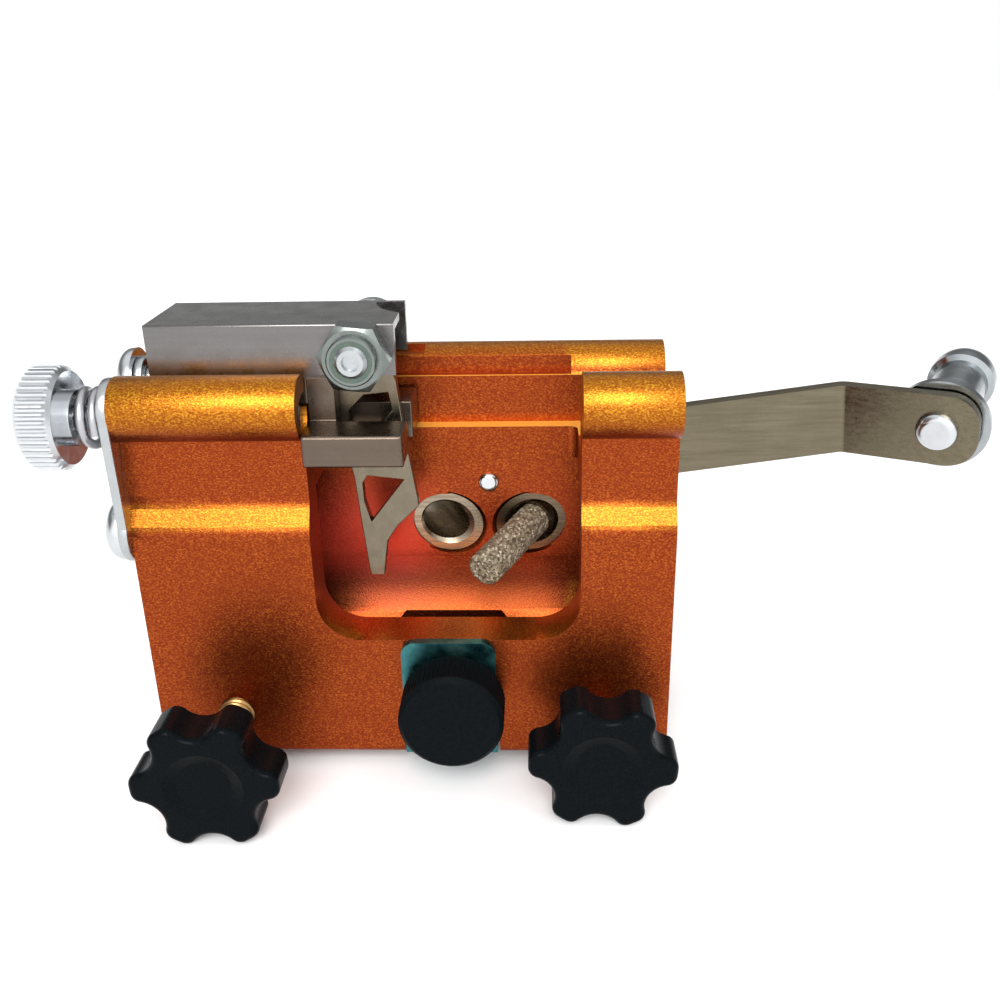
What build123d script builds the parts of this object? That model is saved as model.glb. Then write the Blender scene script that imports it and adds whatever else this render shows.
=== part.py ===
from build123d import *
from math import asin, cos, hypot, pi, radians, sin
import os

# A hand-cranked sharpener that clamps over the bar of a chainsaw. A milled extrusion straddles the
# bar, a stone runs through an angled bush into the window, and a hanging pawl sets the tooth.
# Millimetres. +Z is up from the body's underside, +X runs right along the extrusion, and -Y faces
# the user. Y = 0 is the fixed rear jaw face, which lies in the middle plane of the extrusion, and
# X = 0 is midway between the two clamps.

# Fits and overruns
running_clearance = 0.05
press_clearance = 0.02
slide_clearance = 0.2
seat_gap = 0.02
overrun = 5.0
knurl_overrun = 0.5
head_share = 0.8

# Body extrusion
body_length = 84.6
body_shift = -0.7
jaw_gap = 8.0
jaw_height = 46.0
lower_wall_reach = 15.6
upper_wall_reach = 13.3
step_bottom = 41.0
step_top = 45.3
rail_radius = 5.0
rail_reach = 12.35
rail_rise = 0.8
rear_rail_drop = 1.5
bridge_thickness = 5.4
trough_depth = 8.1
trough_half_width = 6.8
seat_half_width = 8.8
seat_end = 26.0
foot_round = 1.2
step_round = 4.0

# Window milled through the front wall, and the chain space that widens the slot into the rear wall
window_width = 42.0
window_centre = 6.0
window_floor = 22.0
window_corner = 7.0
pocket_depth = 4.2
pocket_blend = 1.5
chain_space_floor = 17.2
chain_space_slope = 45.0

# Notch in the rear jaw face under the window
notch_width = 19.3
notch_centre = 5.4
notch_top = 18.9
notch_depth = 1.0
notch_slant = 1.8

# Guide bushes, swung left and right in plan and tilted down towards the front
bush_radius = 5.3
bore_radius = 3.5
bush_spacing = 14.1
bush_middle = 11.95
bush_height = 33.8
bush_swing = 30.0
bush_tilt = 10.0
bush_length = 17.5
bush_recess = 0.4
bush_mouth_break = 0.6
bush_end_break = 0.5
bush_mouth_clearance = 0.45
bush_mouth_depth = 1.0

# Pin that locks the bushes
lock_pin_head_radius = 1.75
lock_pin_head_height = 1.1
lock_pin_radius = 1.2
lock_pin_length = 6.0
lock_pin_height = 41.5

# Plate and screws on the left end
end_plate_thickness = 1.5
end_plate_rail_width = 9.6
end_plate_strip_width = 5.0
end_plate_lobe_width = 10.4
end_plate_boss_radius = 3.6
end_screw_reach = 11.8
end_screw_height = 40.3
end_screw_head_radius = 5.0
end_screw_head_height = 2.6
end_screw_radius = 1.95
end_screw_length = 12.0
stop_screw_reach = 2.0
stop_screw_rise = 0.7
stop_screw_length = 4.8
recess_width = 1.1
recess_depth = 1.3

# Thumb screw that shifts the slider
adjust_bore_radius = 3.0
adjust_screw_radius = 1.95
adjust_drop = 1.3
adjust_screw_end = -15.4
thumb_radius = 8.0
thumb_width = 5.6
thumb_break = 0.9
thumb_knurls = 42
thumb_knurl_radius = 0.42
thumb_boss_radius = 4.3
thumb_boss_length = 1.4
thumb_dish_radius = 6.2
thumb_dish_depth = 0.5
clip_radius = 2.7
clip_thickness = 0.8
clip_gap = 0.2

# Compression spring under the thumb screw's head
spring_radius = 4.05
spring_wire_radius = 0.75
spring_space = 4.4
spring_half_turns = 3

# Slider: a block in the trough, a channel on top of it and a guide in the window
block_end_gap = 6.0
slider_travel = 3.5
block_floor_gap = 0.6
channel_end_gap = 4.0
channel_right = -1.1
channel_half_width = 8.2
channel_gap = 4.5
channel_height = 8.0
channel_wall = 1.4
channel_web = 1.2
channel_break = 0.35
channel_nose_radius = 9.0
nut_slot_height = 2.7
nut_barrel_length = 7.0
nut_barrel_left = -24.0
nut_slot_play = 2.0

# Guide that holds the pawl square
guide_left = -14.85
guide_right = 0.3
guide_web_right = -10.6
guide_shoulder_right = -11.7
guide_floor_gap = 0.6
guide_bar_height = 5.0
guide_front = -16.3
guide_slot_front = -9.0
guide_web_back = -5.4
guide_slot_back = -2.6
guide_back = 5.6
guide_rear_height = 6.0
guide_break = 0.3

# Pawl and its pivot
pivot_x = -6.9
pivot_rise = 3.5
pawl_front = -5.0
pawl_thickness = 2.0
pawl_width = 12.5
pawl_length = 39.0
pawl_hub_radius = 3.25
pivot_radius = 2.45
pivot_end = -14.2
pivot_cup_radius = 1.3
pivot_cup_depth = 0.7
pivot_end_break = 0.5
spacer_radius = 3.2
spacer_gap = 0.1
nut_across_flats = 9.6
nut_height = 4.2
nut_collar_radius = 3.75
nut_collar_height = 1.2
nut_insert_height = 0.7
nut_break = 0.6
nut_turn = -6.0
bolt_head_radius = 4.65
bolt_head_height = 3.3
bolt_head_round = 1.4
hex_socket_across = 3.0
hex_socket_depth = 1.8

# Stone, its holder shaft and the crank behind the body
shaft_radius = bore_radius - running_clearance
shaft_front = 1.5
stone_radius = 3.0
stone_reach = 15.7
stone_tip_round = 0.9
shank_radius = 1.5
shank_length = 14.0
grub_radius = 1.25
grub_length = 1.6
grub_reach = 7.0
washer_radius = 5.2
washer_thickness = 1.0
hub_radius = 5.5
hub_end_reach = 30.0
hub_break = 0.5
hub_grub_radius = 1.6
hub_grub_inset = 6.0
strip_width = 14.0
strip_thickness = 2.0
crank_radius = 55.9
crank_offset = 21.3
crank_rest_angle = -2.0
hub_flat_reach = 5.0
bend_reach = 38.6
bend_radius = 3.0
arm_corner = 5.6
crank_screw_radius = 1.95
crank_screw_depth = 7.0
crank_screw_head_radius = 3.7
crank_screw_head_height = 2.3

# Turned handle on its rivet
rivet_head_radius = 3.7
rivet_head_height = 1.7
rivet_radius = 2.0
handle_washer_radius = 5.5
handle_washer_thickness = 0.5
handle_length = 26.0
handle_base_radius = 8.6
handle_rim = 1.3
handle_waist_radius = 5.1
handle_waist_height = 9.5
handle_neck_height = 17.5
handle_knob_radius = 6.15
handle_groove = 0.5
handle_wall = 3.5

# Star knobs, their studs and the pads that press on the bar
clamp_spacing = 60.2
clamp_height = 8.0
right_clamp_turned_in = 4.9
stud_radius = 2.95
stud_knob_depth = 5.2
star_radius = 11.5
star_valley_reach = 12.7
star_valley_radius = 4.0
star_corner_round = 1.8
star_thickness = 6.8
star_edge_round = 1.1
star_dish_radius = 6.2
star_dish_depth = 0.9
star_dish_slope = 65.0
star_hub_radius = 6.5
star_hub_length = 1.4
star_open_gap = 13.2
star_lobes = 6
left_star_turn = -28.0
right_star_turn = 26.0
pad_radius = 5.0
pad_thickness = 2.0
pad_sink = 1.3
pad_recess_clearance = 0.3
pad_recess_slack = 0.2
pad_socket_radius = 2.0
pad_socket_depth = 1.2

# Bar stop plate with its lock knob
stop_width = 15.2
stop_centre = 5.8
stop_thickness = 1.5
stop_top = 22.3
stop_foot = 1.0
stop_inner_height = 9.0
stop_corner = 2.2
stop_bend = 0.6
stop_rise = 3.0
stop_drop = 4.0
stop_recess_slack = 0.4
lock_height = 12.8
lock_x = 6.6
lock_screw_radius = 2.45
lock_screw_inner = -10.2
lock_washer_radius = 6.0
lock_washer_thickness = 1.0
lock_knob_radius = 8.3
lock_knob_thickness = 7.6
lock_knob_knurls = 64
lock_knurl_radius = 0.28
lock_knob_break = 0.7
lock_knob_insert = 5.0

# Places that follow from the sizes above
body_left = body_shift - body_length / 2
trough_floor = jaw_height + bridge_thickness
ledge_height = trough_floor + trough_depth
rail_height = ledge_height + rail_rise
rear_rail_height = rail_height - rear_rail_drop
adjust_height = rail_height - adjust_drop
stop_screw_height = rail_height + stop_screw_rise
slider_left = body_left + block_end_gap
channel_left = body_left + channel_end_gap
channel_bottom = ledge_height + channel_gap
channel_top = channel_bottom + channel_height
guide_bottom = trough_floor + guide_floor_gap
guide_bar_top = guide_bottom + guide_bar_height
guide_rear_top = guide_bottom + guide_rear_height
pivot_height = channel_bottom + pivot_rise
window_left = window_centre - window_width / 2
sky = channel_top + overrun
outer_face = -lower_wall_reach
gap_face = -jaw_gap
pocket_face = pocket_depth
plate_face = body_left - end_plate_thickness
spring_left = plate_face - spring_space
thumb_inner = spring_left - thumb_boss_length
thumb_outer = thumb_inner - thumb_width
block_bottom = trough_floor + block_floor_gap
block_half_width = trough_half_width - slide_clearance
wing_half_width = seat_half_width - slide_clearance
wing_bottom = ledge_height + slide_clearance
hub_length = hub_end_reach - bush_length - washer_thickness - seat_gap
arm_end_reach = hub_end_reach + strip_thickness + crank_offset
handle_start = arm_end_reach + handle_washer_thickness + seat_gap
pad_rest = gap_face - pad_sink - pad_thickness
star_back = outer_face - star_open_gap
lock_plate_face = outer_face - stop_thickness - 2 * seat_gap
lock_knob_back = lock_plate_face - lock_washer_thickness


def facing_front(y):
    """Sketch plane at a depth y: local x is X, local y is Z, and extruding goes to the front."""
    return Plane(origin=(0, y, 0), x_dir=(1, 0, 0), z_dir=(0, -1, 0))


def facing_right(x):
    """Sketch plane at a place x: local x is Y, local y is Z, and extruding goes to the right."""
    return Plane(origin=(x, 0, 0), x_dir=(0, 1, 0), z_dir=(1, 0, 0))


def bush_plane(x, swing):
    """Plane square to a bush at its mouth, with z running back along the bush."""
    plan, tilt = radians(swing), radians(bush_tilt)
    back = (sin(plan) * cos(tilt), cos(plan) * cos(tilt), sin(tilt))
    return Plane(origin=(x, pocket_face, bush_height), x_dir=(cos(plan), -sin(plan), 0), z_dir=back)


def turned(plane, angle):
    """A plane turned by an angle about its own z."""
    swung = plane.x_dir * cos(radians(angle)) + plane.y_dir * sin(radians(angle))
    return Plane(origin=plane.origin, x_dir=swung, z_dir=plane.z_dir)


def side_plane(across):
    """Plane that holds another plane's x and z, for profiles seen from the side."""
    return Plane(origin=across.origin, x_dir=across.x_dir, z_dir=-across.y_dir)


def from_shares(shares, width, height):
    """Points of an outline from shares of a width and a height."""
    return [(x * width, y * height) for x, y in shares]


def finish(builder, name):
    """Name a finished piece after its node and write it."""
    builder.part.label = name
    export_step(builder.part, f"parts/{name}.step")


os.makedirs("parts", exist_ok=True)

left_bush_plane = bush_plane(bush_middle - bush_spacing / 2, -bush_swing)
right_bush_plane = bush_plane(bush_middle + bush_spacing / 2, bush_swing)
crank_plane = turned(right_bush_plane, crank_rest_angle)
crank_side = side_plane(crank_plane)

# Cutter for the window, round at its lower corners, and for the bridge above it
with BuildPart() as window_cutter:
    with BuildSketch(facing_front(-jaw_gap / 2)):
        with Locations((window_centre, (window_floor + sky) / 2)):
            Rectangle(window_width, sky - window_floor)
        fillet(vertices().group_by(Axis.Y)[0], radius=window_corner)
    extrude(amount=lower_wall_reach - jaw_gap / 2 + overrun)
    with BuildSketch(facing_front(pocket_face)):
        bridge_cut_low = jaw_height - 2 * pocket_blend
        with Locations((window_centre, (bridge_cut_low + sky) / 2)):
            Rectangle(window_width, sky - bridge_cut_low)
    extrude(amount=pocket_face + lower_wall_reach + overrun)
    fillet(faces().sort_by(Axis.Y)[-1].edges(), radius=pocket_blend)

# Milled and anodised body extrusion
with BuildPart() as main_body:
    with BuildSketch(facing_right(body_left)):
        with BuildLine():
            Polyline(
                (-lower_wall_reach, 0),
                (-lower_wall_reach, step_bottom),
                (-upper_wall_reach, step_top),
                (-upper_wall_reach, ledge_height),
                (upper_wall_reach, ledge_height),
                (upper_wall_reach, step_top),
                (lower_wall_reach, step_bottom),
                (lower_wall_reach, 0),
                close=True,
            )
        make_face()
        fillet(vertices().group_by(Axis.Y)[0], radius=foot_round)
        step_corners = vertices().group_by(Axis.Y)[-3] + vertices().group_by(Axis.Y)[-2]
        fillet(step_corners, radius=step_round)
        with Locations((-rail_reach, rail_height), (rail_reach, rear_rail_height)):
            Circle(rail_radius)
        with Locations((-jaw_gap / 2, jaw_height / 2)):
            Rectangle(jaw_gap, jaw_height, mode=Mode.SUBTRACT)
        with BuildLine():
            hollow_radius = pocket_depth / (1 - cos(radians(chain_space_slope)))
            hollow_rise = hollow_radius * sin(radians(chain_space_slope))
            hollow_centre = (pocket_face - hollow_radius, chain_space_floor + hollow_rise)
            hollow = CenterArc(hollow_centre, hollow_radius, -chain_space_slope, chain_space_slope)
            Polyline(hollow @ 1, (pocket_face, jaw_height), (0, jaw_height), hollow @ 0)
        make_face(mode=Mode.SUBTRACT)
        with Locations((0, (trough_floor + sky) / 2)):
            Rectangle(2 * trough_half_width, sky - trough_floor, mode=Mode.SUBTRACT)
    extrude(amount=body_length)
    with BuildSketch(facing_right(body_left)):
        with Locations((0, (ledge_height + sky) / 2)):
            Rectangle(2 * seat_half_width, sky - ledge_height)
    extrude(amount=seat_end - body_left, mode=Mode.SUBTRACT)
    add(window_cutter.part, mode=Mode.SUBTRACT)
    with BuildSketch(facing_right(body_left - overrun)):
        with Locations((-rail_reach, adjust_height)):
            Circle(adjust_bore_radius)
    extrude(amount=window_left - body_left + 2 * overrun, mode=Mode.SUBTRACT)
    with BuildSketch(facing_right(nut_barrel_left - nut_slot_play)):
        with Locations((-(seat_half_width + rail_reach) / 2, ledge_height + nut_slot_height / 2)):
            Rectangle(rail_reach - seat_half_width, nut_slot_height)
    extrude(amount=window_left - nut_barrel_left + nut_slot_play + overrun, mode=Mode.SUBTRACT)
    with BuildSketch(facing_right(body_left)):
        with Locations((rail_reach, rear_rail_height), (-end_screw_reach, end_screw_height)):
            Circle(end_screw_radius + press_clearance)
    extrude(amount=end_screw_length + overrun, mode=Mode.SUBTRACT)
    for plane in (left_bush_plane, right_bush_plane):
        with BuildSketch(plane.offset(-bush_length)):
            Circle(bush_radius + press_clearance)
        extrude(amount=bush_length + bush_length + overrun, mode=Mode.SUBTRACT)
        with BuildSketch(plane.offset(-bush_length)):
            Circle(bush_radius + bush_mouth_clearance)
        extrude(amount=bush_length + bush_mouth_depth, mode=Mode.SUBTRACT)
    with BuildSketch(facing_front(pocket_face + lock_pin_length)):
        with Locations((bush_middle, lock_pin_height)):
            Circle(lock_pin_radius + press_clearance)
    extrude(amount=lock_pin_length + overrun, mode=Mode.SUBTRACT)
    with BuildSketch(facing_front(gap_face + overrun)):
        with Locations((-clamp_spacing / 2, clamp_height), (clamp_spacing / 2, clamp_height)):
            Circle(stud_radius + running_clearance)
        with Locations((lock_x, lock_height)):
            Circle(lock_screw_radius + running_clearance)
    extrude(amount=lower_wall_reach, mode=Mode.SUBTRACT)
    with BuildSketch(facing_front(pad_rest - pad_recess_slack)):
        with Locations((-clamp_spacing / 2, clamp_height), (clamp_spacing / 2, clamp_height)):
            Circle(pad_radius + pad_recess_clearance)
    extrude(amount=pad_rest - gap_face - overrun, mode=Mode.SUBTRACT)
    with BuildSketch(Plane.XY.offset(-overrun)):
        foot_depth = lower_wall_reach - jaw_gap
        with Locations((stop_centre, gap_face - foot_depth / 2)):
            Rectangle(stop_width + 2 * stop_recess_slack, foot_depth + stop_thickness)
    extrude(
        amount=overrun + stop_foot + stop_thickness + stop_rise + stop_recess_slack,
        mode=Mode.SUBTRACT,
    )
    with BuildSketch(Plane.XY.offset(-overrun)):
        recess_reach = stop_thickness + running_clearance
        with Locations((stop_centre, gap_face - recess_reach / 2)):
            Rectangle(stop_width + 2 * stop_recess_slack, recess_reach)
    extrude(amount=overrun + stop_inner_height + stop_rise + stop_recess_slack, mode=Mode.SUBTRACT)
    with BuildSketch(facing_front(notch_depth)):
        with Locations((notch_centre, (notch_top - overrun) / 2)):
            Rectangle(notch_width, notch_top + overrun)
        chamfer(vertices().group_by(Axis.Y)[-1], length=notch_slant)
    extrude(amount=notch_depth + seat_gap, mode=Mode.SUBTRACT)
    with BuildSketch(facing_right(pivot_x - bolt_head_radius - slide_clearance)):
        relief_low = pivot_height - bolt_head_radius - slide_clearance
        relief_deep = channel_half_width + bolt_head_height + slide_clearance
        with Locations(((seat_half_width + relief_deep) / 2, (relief_low + sky) / 2)):
            Rectangle(relief_deep - seat_half_width, sky - relief_low)
    extrude(amount=2 * (bolt_head_radius + slide_clearance) + slider_travel, mode=Mode.SUBTRACT)
finish(main_body, "main_body")


def make_bush(plane, name):
    """Guide bush trimmed parallel to the pocket face, with a broken mouth and rear end."""
    with BuildPart() as bush:
        with BuildSketch(plane.offset(-bush_length)):
            Circle(bush_radius)
            Circle(bore_radius, mode=Mode.SUBTRACT)
        extrude(amount=bush_length + bush_length)
        rear_face = faces().sort_by(SortBy.AREA)[:2].sort_by(Axis.Y)[-1]
        chamfer(rear_face.edges(), length=bush_end_break)
        trim = Plane(origin=(0, pocket_face + bush_recess, 0), z_dir=(0, 1, 0))
        split(bisect_by=trim, keep=Keep.TOP)
        mouth = faces().sort_by(Axis.Y)[0].edges().sort_by(SortBy.LENGTH)[0]
        chamfer(mouth, length=bush_mouth_break)
    finish(bush, name)


make_bush(left_bush_plane, "left_bush")
make_bush(right_bush_plane, "right_bush")

# Round-headed pin between the bushes
with BuildPart() as lock_pin:
    with BuildSketch(facing_front(pocket_face + lock_pin_length)):
        with Locations((bush_middle, lock_pin_height)):
            Circle(lock_pin_radius)
    extrude(amount=lock_pin_length)
    with BuildSketch(facing_front(pocket_face)):
        with Locations((bush_middle, lock_pin_height)):
            Circle(lock_pin_head_radius)
    extrude(amount=lock_pin_head_height)
    head_rim = edges().filter_by(GeomType.CIRCLE).sort_by(Axis.Y)[0]
    fillet(head_rim, radius=head_share * lock_pin_head_height)
finish(lock_pin, "bush_lock_pin")

# Zinc plate over the left end of both rails, with a strip between them and a lobe down the wall
with BuildPart() as end_plate:
    with BuildSketch(facing_right(plate_face)):
        front_top = Vector(-rail_reach, rail_height)
        rear_top = Vector(rail_reach, rear_rail_height)
        lobe_low = Vector(-end_screw_reach, end_screw_height)
        stop_place = Vector(stop_screw_reach, stop_screw_height)
        with BuildLine():
            strip_line = Line(front_top, rear_top)
        trace(strip_line, line_width=end_plate_strip_width)
        with BuildLine():
            lobe_line = Line(front_top, lobe_low)
        trace(lobe_line, line_width=end_plate_rail_width)
        with Locations(front_top, rear_top):
            Circle(end_plate_rail_width / 2)
        with Locations(lobe_low):
            Circle(end_plate_lobe_width / 2)
        with Locations(stop_place):
            Circle(end_plate_boss_radius)
        with Locations((-rail_reach, adjust_height), rear_top, lobe_low, stop_place):
            Circle(adjust_screw_radius + running_clearance, mode=Mode.SUBTRACT)
    extrude(amount=end_plate_thickness)
finish(end_plate, "end_plate")


def make_end_screw(y, z, length, name):
    """Cross-recessed pan-head screw that goes some length past the inside of the end plate."""
    with BuildPart() as screw:
        with BuildSketch(facing_right(plate_face)):
            with Locations((y, z)):
                Circle(end_screw_radius)
        extrude(amount=end_plate_thickness + length)
        with BuildSketch(facing_right(plate_face)):
            with Locations((y, z)):
                Circle(end_screw_head_radius)
        extrude(amount=-end_screw_head_height)
        head_rim = edges().filter_by(GeomType.CIRCLE).sort_by(Axis.X)[0]
        fillet(head_rim, radius=head_share * end_screw_head_height)
        with BuildSketch(facing_right(plate_face - end_screw_head_height)):
            with Locations((y, z)):
                Rectangle(end_screw_head_radius, recess_width)
                Rectangle(recess_width, end_screw_head_radius)
        extrude(amount=recess_depth, mode=Mode.SUBTRACT)
    finish(screw, name)


make_end_screw(rail_reach, rear_rail_height, end_screw_length, "end_screw_rear")
make_end_screw(-end_screw_reach, end_screw_height, end_screw_length, "end_screw_lower")
make_end_screw(stop_screw_reach, stop_screw_height, stop_screw_length, "slider_stop_screw")

# Knurled thumb wheel, its face dished and its boss towards the spring
with BuildPart() as adjust_knob:
    with BuildSketch(facing_right(thumb_outer)):
        with Locations((-rail_reach, adjust_height)):
            Circle(thumb_radius)
    extrude(amount=thumb_width)
    chamfer(edges(), length=thumb_break)
    with BuildSketch(facing_right(thumb_inner)):
        with Locations((-rail_reach, adjust_height)):
            Circle(thumb_boss_radius)
    extrude(amount=thumb_boss_length)
    with BuildSketch(facing_right(thumb_outer)):
        with Locations((-rail_reach, adjust_height)):
            Circle(thumb_dish_radius)
    extrude(amount=thumb_dish_depth, mode=Mode.SUBTRACT)
    with BuildSketch(facing_right(thumb_outer - knurl_overrun)):
        with Locations((-rail_reach, adjust_height)):
            with PolarLocations(thumb_radius, thumb_knurls):
                Circle(thumb_knurl_radius)
    extrude(amount=thumb_width + 2 * knurl_overrun, mode=Mode.SUBTRACT)
    with BuildSketch(facing_right(thumb_outer + thumb_dish_depth)):
        with Locations((-rail_reach, adjust_height)):
            Circle(adjust_screw_radius + press_clearance)
    extrude(amount=thumb_width + thumb_boss_length, mode=Mode.SUBTRACT)
finish(adjust_knob, "adjust_knob")

# Plain-drawn screw from the thumb wheel to the slider's nut
with BuildPart() as adjust_screw:
    with BuildSketch(facing_right(thumb_outer + thumb_dish_depth)):
        with Locations((-rail_reach, adjust_height)):
            Circle(adjust_screw_radius)
    extrude(amount=adjust_screw_end - thumb_outer - thumb_dish_depth)
    chamfer(edges(), length=adjust_screw_radius / 4)
finish(adjust_screw, "adjust_screw")

# Ring clip that holds the screw against the inside of the end plate
with BuildPart() as adjust_clip:
    with BuildSketch(facing_right(body_left + clip_gap)):
        with Locations((-rail_reach, adjust_height)):
            Circle(clip_radius)
            Circle(adjust_screw_radius + press_clearance, mode=Mode.SUBTRACT)
    extrude(amount=clip_thickness)
finish(adjust_clip, "adjust_clip")

# Spring in half turns, each a half circle that leans by half a pitch
spring_first = spring_left + spring_wire_radius + seat_gap
spring_last = plate_face - spring_wire_radius - seat_gap
spring_step = (spring_last - spring_first) / spring_half_turns
spring_points = [
    Vector(spring_first + k * spring_step, -rail_reach + spring_radius * (-1) ** k, adjust_height)
    for k in range(spring_half_turns + 1)
]
spring_middles = []
for k, (start, stop) in enumerate(zip(spring_points, spring_points[1:])):
    centre = (start + stop) / 2
    spring_middles.append(centre + Vector(0, 0, (stop - start).length / 2 * (-1) ** k))
straight_end = Vector(0, 0, 2 * spring_wire_radius)
with BuildPart() as adjust_spring:
    with BuildLine() as spring_path:
        Line(spring_points[0] - straight_end, spring_points[0])
        for start, middle, stop in zip(spring_points, spring_middles, spring_points[1:]):
            ThreePointArc(start, middle, stop)
        Line(spring_points[-1], spring_points[-1] + straight_end * (-1) ** spring_half_turns)
    with BuildSketch(Plane(origin=spring_points[0] - straight_end, z_dir=(0, 0, 1))):
        Circle(spring_wire_radius)
    sweep(path=spring_path.wires()[0])
finish(adjust_spring, "adjust_spring")


def spring_self_gap(samples_per_half_turn):
    """Least gap between points of the spring's line that are at least half a turn apart."""
    line = []
    for arc_start, arc_stop, middle in zip(spring_points, spring_points[1:], spring_middles):
        centre = (arc_start + arc_stop) / 2
        for i in range(samples_per_half_turn):
            turn = pi * i / samples_per_half_turn
            line.append(centre + (arc_start - centre) * cos(turn) + (middle - centre) * sin(turn))
    apart = samples_per_half_turn
    pairs = ((a, b) for i, a in enumerate(line) for b in line[i + apart:])
    return min((a - b).length for a, b in pairs) - 2 * spring_wire_radius


print("spring gap to itself, mm:", round(spring_self_gap(24), 3))

# Slider block: a tongue in the trough and wings on the ledges
with BuildPart() as slider_block:
    with BuildSketch(facing_right(slider_left)):
        with Locations((0, (block_bottom + channel_bottom) / 2)):
            Rectangle(2 * block_half_width, channel_bottom - block_bottom)
        with Locations((0, (wing_bottom + channel_bottom) / 2)):
            Rectangle(2 * wing_half_width, channel_bottom - wing_bottom)
    extrude(amount=guide_left - slider_left)
finish(slider_block, "slider_block")

# Brass nut in the front rail's bore, with a tongue through the slot to the slider block
with BuildPart() as drive_nut:
    with BuildSketch(facing_right(nut_barrel_left)):
        with Locations((-rail_reach, adjust_height)):
            Circle(adjust_bore_radius - running_clearance)
        tongue_height = nut_slot_height - 2 * slide_clearance
        tongue_reach = rail_reach - wing_half_width
        with Locations((-(rail_reach + wing_half_width) / 2, wing_bottom + tongue_height / 2)):
            Rectangle(tongue_reach, tongue_height)
        with Locations((-rail_reach, adjust_height)):
            Circle(adjust_screw_radius + running_clearance, mode=Mode.SUBTRACT)
    extrude(amount=nut_barrel_length)
finish(drive_nut, "drive_nut")

# Channel on the slider, its top cut round at the pawl's end
with BuildPart() as slider_channel:
    with BuildSketch(facing_right(channel_left)):
        with Locations((0, (channel_bottom + channel_top) / 2)):
            Rectangle(2 * channel_half_width, channel_top - channel_bottom)
        fillet(vertices().group_by(Axis.Y)[-1], radius=channel_break)
        inner_top = channel_top - channel_web
        with Locations((0, (channel_bottom + inner_top) / 2)):
            inner_half_width = channel_half_width - channel_wall
            Rectangle(2 * inner_half_width, inner_top - channel_bottom, mode=Mode.SUBTRACT)
    extrude(amount=channel_right - channel_left)
    with BuildSketch(Plane.XY.offset(inner_top - seat_gap)):
        with Locations((channel_right + channel_nose_radius / 2, inner_half_width)):
            Circle(channel_nose_radius)
        with Locations((channel_right, inner_half_width)):
            Rectangle(
                4 * channel_nose_radius,
                channel_nose_radius,
                align=(Align.CENTER, Align.MIN),
                mode=Mode.SUBTRACT,
            )
    extrude(amount=channel_web + overrun, mode=Mode.SUBTRACT)
    with BuildSketch(facing_front(channel_half_width + overrun)):
        with Locations((pivot_x, pivot_height)):
            Circle(pivot_radius + running_clearance)
    extrude(amount=2 * channel_half_width + 2 * overrun, mode=Mode.SUBTRACT)
finish(slider_channel, "slider_channel")

# Guide under the channel: a front bar, a slot for the pawl and a rear bar, joined at the left
with BuildPart() as pawl_guide:
    with BuildSketch(Plane.XY.offset(guide_bottom)):
        bar_width = guide_right - guide_left
        bar_middle = (guide_right + guide_left) / 2
        with Locations((bar_middle, (guide_front + guide_slot_front) / 2)):
            Rectangle(bar_width, guide_slot_front - guide_front)
    extrude(amount=guide_bar_top - guide_bottom)
    with BuildSketch(Plane.XY.offset(guide_bottom)):
        with Locations((bar_middle, (guide_slot_back + guide_back) / 2)):
            Rectangle(bar_width, guide_back - guide_slot_back)
    extrude(amount=guide_rear_top - guide_bottom)
    with BuildSketch(Plane.XY.offset(guide_bottom)):
        web_width = guide_web_right - guide_left
        with Locations((guide_left + web_width / 2, (guide_slot_front + guide_web_back) / 2)):
            Rectangle(web_width, guide_web_back - guide_slot_front)
        shoulder_width = guide_shoulder_right - guide_left
        with Locations((guide_left + shoulder_width / 2, (guide_web_back + guide_back) / 2)):
            Rectangle(shoulder_width, guide_back - guide_web_back)
    extrude(amount=channel_bottom - guide_bottom)
    bar_front = faces().sort_by(Axis.Y)[0]
    chamfer(bar_front.edges(), length=guide_break)
finish(pawl_guide, "pawl_guide")

# Stamped pawl: a hooked outline with a hexagonal and a three-cornered opening
pawl_outline_shares = [
    (-0.37, -0.175), (-0.325, -0.33), (-0.195, -0.55), (-0.15, -0.735), (-0.08, -0.98),
    (-0.07, -1.0), (0.117, -1.0), (0.12, -0.985), (0.185, -0.843), (0.33, -0.772),
    (0.58, -0.695), (0.62, -0.68), (0.613, -0.645), (0.495, -0.38), (0.42, -0.14),
]
pawl_hexagon_shares = [
    (0.007, -0.195), (-0.21, -0.265), (-0.2, -0.33), (0.17, -0.332), (0.35, -0.26), (0.31, -0.185),
]
pawl_triangle_shares = [
    (-0.023, -0.542), (-0.095, -0.578), (-0.086, -0.66), (-0.011, -0.752), (0.455, -0.56),
]
with BuildPart() as pawl:
    with BuildSketch(facing_front(pawl_front + pawl_thickness)):
        with Locations((pivot_x, pivot_height)):
            outline = from_shares(pawl_outline_shares, pawl_width, pawl_length)
            crown = [(pawl_hub_radius, 0), (-pawl_hub_radius, 0)]
            Polygon(*outline, *crown, align=None)
            Circle(pawl_hub_radius)
            for shares in (pawl_hexagon_shares, pawl_triangle_shares):
                opening = from_shares(shares, pawl_width, pawl_length)
                Polygon(*opening, align=None, mode=Mode.SUBTRACT)
            Circle(pivot_radius + running_clearance, mode=Mode.SUBTRACT)
    extrude(amount=pawl_thickness)
finish(pawl, "pawl")

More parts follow.
